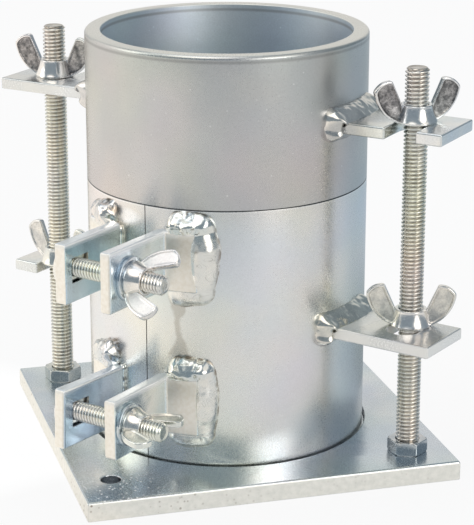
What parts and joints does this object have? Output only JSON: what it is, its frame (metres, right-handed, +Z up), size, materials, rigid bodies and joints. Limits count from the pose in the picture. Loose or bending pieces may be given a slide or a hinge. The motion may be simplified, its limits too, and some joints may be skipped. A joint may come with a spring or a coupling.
{
  "type": "split compaction mould",
  "caption": "Split compaction mould for soil: plated steel tube clamped by wing nuts in a square base plate with studs, under an extension collar.",
  "frame": {"origin": "middle of the base plate's underside, on the mould's axis", "axes": "+Z up along the mould's axis, +X and +Y along the sides of the base plate, with -Y its front"},
  "size_m": [0.1664, 0.1738, 0.1737],
  "materials": {
    "plate": "bright zinc plate, satin, with rust spots on its sawn edge",
    "mould": "bright zinc plate on drawn tube, satin with a fine grain",
    "collar": "bright zinc plate on drawn tube, satin with a fine grain",
    "lug": "bright zinc plate, satin",
    "bracket": "bright zinc plate, semi-gloss",
    "weld": "bright zinc plate over weld metal, glossy and lumpy",
    "stud": "bright zinc plate, glossy thread",
    "lock_nut": "bright zinc plate, glossy",
    "wing_nut": "bright zinc plate over a cast nut, glossy edges and rough faces",
    "clamp_bolt": "bright zinc plate, glossy thread",
    "washer": "bright zinc plate, semi-gloss"
  },
  "bodies": {
    "base": {"base_plate": "plate", "stud_left": "stud", "stud_right": "stud", "lock_nut_left": "lock_nut", "lock_nut_right": "lock_nut"},
    "mould": {"mould_shell_right": "mould", "mould_lug_right": "lug", "mould_lug_weld_right": "weld", "bracket_upper_right": "bracket", "bracket_lower_right": "bracket", "bracket_weld_upper_right": "weld", "bracket_weld_lower_right": "weld"},
    "mould_left": {"mould_shell_left": "mould", "mould_lug_left": "lug", "mould_lug_weld_left": "weld", "bracket_upper_left": "bracket", "bracket_lower_left": "bracket", "bracket_weld_upper_left": "weld", "bracket_weld_lower_left": "weld", "clamp_bolt_upper": "clamp_bolt", "clamp_bolt_lower": "clamp_bolt"},
    "collar": {"collar_ring": "collar", "collar_lug_left": "lug", "collar_lug_right": "lug", "collar_lug_weld_left": "weld", "collar_lug_weld_right": "weld"},
    "clamp_washer_upper": {"clamp_washer_upper": "washer"},
    "clamp_washer_lower": {"clamp_washer_lower": "washer"},
    "clamp_wing_nut_upper": {"clamp_wing_nut_upper": "wing_nut"},
    "clamp_wing_nut_lower": {"clamp_wing_nut_lower": "wing_nut"},
    "collar_wing_nut_left": {"collar_wing_nut_left": "wing_nut"},
    "collar_wing_nut_right": {"collar_wing_nut_right": "wing_nut"},
    "mould_wing_nut_left": {"mould_wing_nut_left": "wing_nut"},
    "mould_wing_nut_right": {"mould_wing_nut_right": "wing_nut"}
  },
  "joints": [
    {"name": "mould_twist", "type": "hinge", "parent": "base", "child": "mould", "pos_m": [0, 0, 0.005], "axis": [0, 0, 1], "range_deg": [-60, 4.2]},
    {"name": "mould_spring_open", "type": "hinge", "parent": "mould", "child": "mould_left", "pos_m": [0.04326, 0.03734, 0.005], "axis": [0, 0, -1], "range_deg": [0, 0.531]},
    {"name": "collar_twist", "type": "hinge", "parent": "base", "child": "collar", "pos_m": [0, 0, 0.1134], "axis": [0, 0, 1], "range_deg": [0, 160]},
    {"name": "clamp_washer_upper_slide", "type": "slide", "parent": "mould_left", "child": "clamp_washer_upper", "axis": [0.6534, -0.757, 0], "range_m": [0, 0.00142]},
    {"name": "clamp_nut_upper_spin", "type": "hinge", "parent": "clamp_washer_upper", "child": "clamp_wing_nut_upper", "pos_m": [-0.05446, -0.06484, 0.0928], "axis": [0.6534, -0.757, 0], "range_deg": [0, 360]},
    {"name": "clamp_washer_lower_slide", "type": "slide", "parent": "mould_left", "child": "clamp_washer_lower", "axis": [0.6534, -0.757, 0], "range_m": [0, 0.00142]},
    {"name": "clamp_nut_lower_spin", "type": "hinge", "parent": "clamp_washer_lower", "child": "clamp_wing_nut_lower", "pos_m": [-0.05583, -0.06602, 0.0342], "axis": [0.6534, -0.757, 0], "range_deg": [0, 360]},
    {"name": "collar_nut_left_spin", "type": "hinge", "parent": "base", "child": "collar_wing_nut_left", "pos_m": [-0.0594, 0.0594, 0.145], "axis": [0, 0, 1], "range_deg": [0, 360]},
    {"name": "mould_nut_left_spin", "type": "hinge", "parent": "base", "child": "mould_wing_nut_left", "pos_m": [-0.0594, 0.0594, 0.062], "axis": [0, 0, 1], "range_deg": [0, 360]},
    {"name": "collar_nut_right_spin", "type": "hinge", "parent": "base", "child": "collar_wing_nut_right", "pos_m": [0.0594, -0.0594, 0.145], "axis": [0, 0, 1], "range_deg": [0, 360]},
    {"name": "mould_nut_right_spin", "type": "hinge", "parent": "base", "child": "mould_wing_nut_right", "pos_m": [0.0594, -0.0594, 0.062], "axis": [0, 0, 1], "range_deg": [0, 360]}
  ],
  "couplings": [
    {"joint": "clamp_nut_lower_spin", "follows": "clamp_nut_upper_spin", "ratio": 1},
    {"joint": "clamp_washer_upper_slide", "follows": "clamp_nut_upper_spin", "m_per_rad": 0.00022441},
    {"joint": "clamp_washer_lower_slide", "follows": "clamp_nut_upper_spin", "m_per_rad": 0.00022441},
    {"joint": "mould_spring_open", "follows": "clamp_nut_upper_spin", "ratio": 0.0014715}
  ]
}
